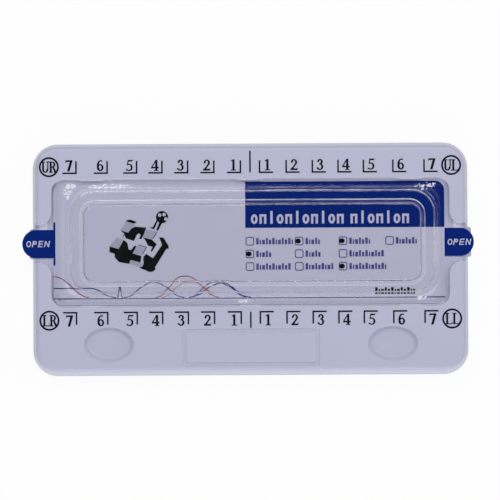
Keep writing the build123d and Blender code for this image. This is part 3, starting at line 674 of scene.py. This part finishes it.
def paintedGlintMask(place):
    # Painted glints: white flecks in the listed spots on the rim
    look = lidLook
    mask = None
    for x, y, reachX, reachY, fullness in look["paintedGlints"]:
        overX = (place.x - x * mm) / (reachX * mm)
        overY = (place.y - y * mm) / (reachY * mm)
        spot = (1.0 - (overX * overX + overY * overY).between(look["spotEdges"])) * fullness
        mask = mask.atLeast(spot) if mask else spot
    glintNoise = place.stretched(look["glintNoiseStretch"]).cloud(1.0, 3, 0.6)
    flecks = (glintNoise + look["glintGrowth"] * mask).between(look["glintEdges"])
    return flecks * mask.between(look["glintFade"]) * look["glintStrength"]


def lidMaterial():
    look = lidLook
    material, start, place = startMaterial("clearSheet")
    ripple = place.cloud(look["rippleScale"], 2)
    fine = place.cloud(look["fineScale"], 2)
    scuff = place.stretched(look["scuffStretch"]).cloud(1.0, 3).between(look["scuffEdges"])
    roughness = look["roughness"] + look["scuffRoughness"] * scuff + look["fineRoughness"] * fine
    normal = fine.raised(look["fine"], under=ripple.raised(look["ripple"]))
    sheet = start.node("BsdfPrincipled", None, {
        "Base Color": tinted(look["colour"]), "Roughness": roughness, "Normal": normal,
        "IOR": look["bending"], "Transmission Weight": 1.0})
    paintedGlints = paintedGlintMask(place)
    sides = (shortSides(place) - paintedGlints).atLeast(0.0)
    # a white sheet mixed in along the bends and on the rim's spots, as painted highlights and glints
    white = start.node("BsdfPrincipled", None, {
        "Base Color": sides.colours(tinted(look["creaseHighlight"]), tinted(look["sideCreaseHighlight"])),
        "Roughness": look["creaseRoughness"] + look["creaseGrain"] * fine, "Normal": normal})
    passing = start.node("BsdfTransparent", None, {"Color": tinted(look["through"])})
    feather = outlineDistance(place, (0, 0, 0, 0), look["rimCorner"]).between(look["feather"], mm)
    edged = feather.shaders(sheet, passing)
    withPaintedHighlights = creaseHighlightMask(place).atLeast(paintedGlints).atMost(1.0).shaders(edged, white)
    unseen = start.ray("Shadow").atLeast(start.ray("Diffuse"))
    return endMaterial(material, unseen.shaders(withPaintedHighlights, passing))


print("clear lid")
lid = buildLid()
lid.data.materials.append(lidMaterial())
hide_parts("lid")
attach(lid, "lid")


# Floor, light and camera, in metres
studio = {
    "floorSize": 6.0,
    "floorDrop": 0.05 * mm,
    "floorColour": (0.90, 0.90, 0.92),
    "floorShade": 0.01,
    "floorRoughness": 0.9,
    "paperScale": 400,
    "floorShown": 0.93,  # share of plain white that the camera sees in the floor
    "world": 0.615,
    "zenith": (0.86, 0.98),  # the sky fades to black overhead, by how steeply one looks up (1 is straight up)
    # name, place, size and power, all aimed at the tray's middle
    "lamps": (("rearHigh", (0.05, 0.54, 1.17), (1.4, 0.6), 7.6),
              ("frontSoft", (-0.05, -0.95, 0.80), (1.2, 0.5), 1.5),
              ("rightSoft", (0.95, 0.0, 0.60), (0.3, 0.8), 0.5),
              ("frontLow", (0.0, -1.05, 0.045), (1.4, 0.06), 5.4)),
    "lens": 300.0,  # lens and sensor in millimetres
    "sensor": 36.0,
    "nearest": 0.05,
    "farthest": 20.0,
    "distance": 1.339,
    "aim": (-0.00014, 0.00296, 0.0),
    "tilt": 1.9,  # degrees, towards the front
    "turn": 0.32,  # degrees
}


def floorMaterial():
    material, start, place = startMaterial("paleFloor")
    paper = place.cloud(studio["paperScale"], 3)
    diffuse = start.node("BsdfPrincipled", None, {
        "Base Color": paper.colours(*darkAndLight(studio["floorColour"], studio["floorShade"])),
        "Roughness": studio["floorRoughness"]})
    white = start.node("Emission", None, {"Color": (1.0, 1.0, 1.0, 1.0), "Strength": 1.0})
    seen = (start.ray("Camera") + start.ray("Glossy") + start.ray("Transmission")) * studio["floorShown"]
    return endMaterial(material, seen.shaders(diffuse, white))


def layFloor():
    half = studio["floorSize"] / 2
    corners = [(-half, -half, 0), (half, -half, 0), (half, half, 0), (-half, half, 0)]
    mesh = bpy.data.meshes.new("floor")
    mesh.from_pydata(corners, [], [(0, 1, 2, 3)])
    mesh.materials.append(floorMaterial())
    floor = bpy.data.objects.new("floor", mesh)
    floor.location.z = -studio["floorDrop"]
    bpy.context.scene.collection.objects.link(floor)


def paintSky():
    world = bpy.data.worlds.new("studio")
    world.use_nodes = True
    world.node_tree.nodes.clear()
    start = Flow(world.node_tree)
    height = start.node("TexCoord", output="Generated").z
    dome = studio["world"] * (1.0 - height.between(studio["zenith"]))
    sky = start.node("Background", None, {"Color": (1.0, 1.0, 1.0, 1.0),
                                          "Strength": dome.atLeast(start.ray("Camera"))})
    last = world.node_tree.nodes.new("ShaderNodeOutputWorld")
    world.node_tree.links.new(sky.socket, last.inputs["Surface"])
    bpy.context.scene.world = world


def hangLamps():
    for name, place, size, power in studio["lamps"]:
        data = bpy.data.lights.new(name, "AREA")
        data.shape = "RECTANGLE"
        data.size, data.size_y = size
        data.energy = power
        lamp = bpy.data.objects.new(name, data)
        lamp.location = place
        lamp.rotation_euler = Vector(place).to_track_quat("Z", "Y").to_euler()
        bpy.context.scene.collection.objects.link(lamp)


def placeCamera():
    data = bpy.data.cameras.new("overhead")
    data.lens = studio["lens"]
    data.sensor_width = studio["sensor"]
    data.clip_start = studio["nearest"]
    data.clip_end = studio["farthest"]
    camera = bpy.data.objects.new("overhead", data)
    tilt = Matrix.Rotation(math.radians(studio["tilt"]), 3, "X")
    camera.location = Vector(studio["aim"]) + tilt @ Vector((0.0, 0.0, studio["distance"]))
    camera.rotation_euler = (tilt @ Matrix.Rotation(-math.radians(studio["turn"]), 3, "Z")).to_euler()
    bpy.context.scene.collection.objects.link(camera)
    bpy.context.scene.camera = camera


print("floor, light and camera")
layFloor()
paintSky()
hangLamps()
placeCamera()
bpy.context.scene.view_settings.view_transform = "Standard"
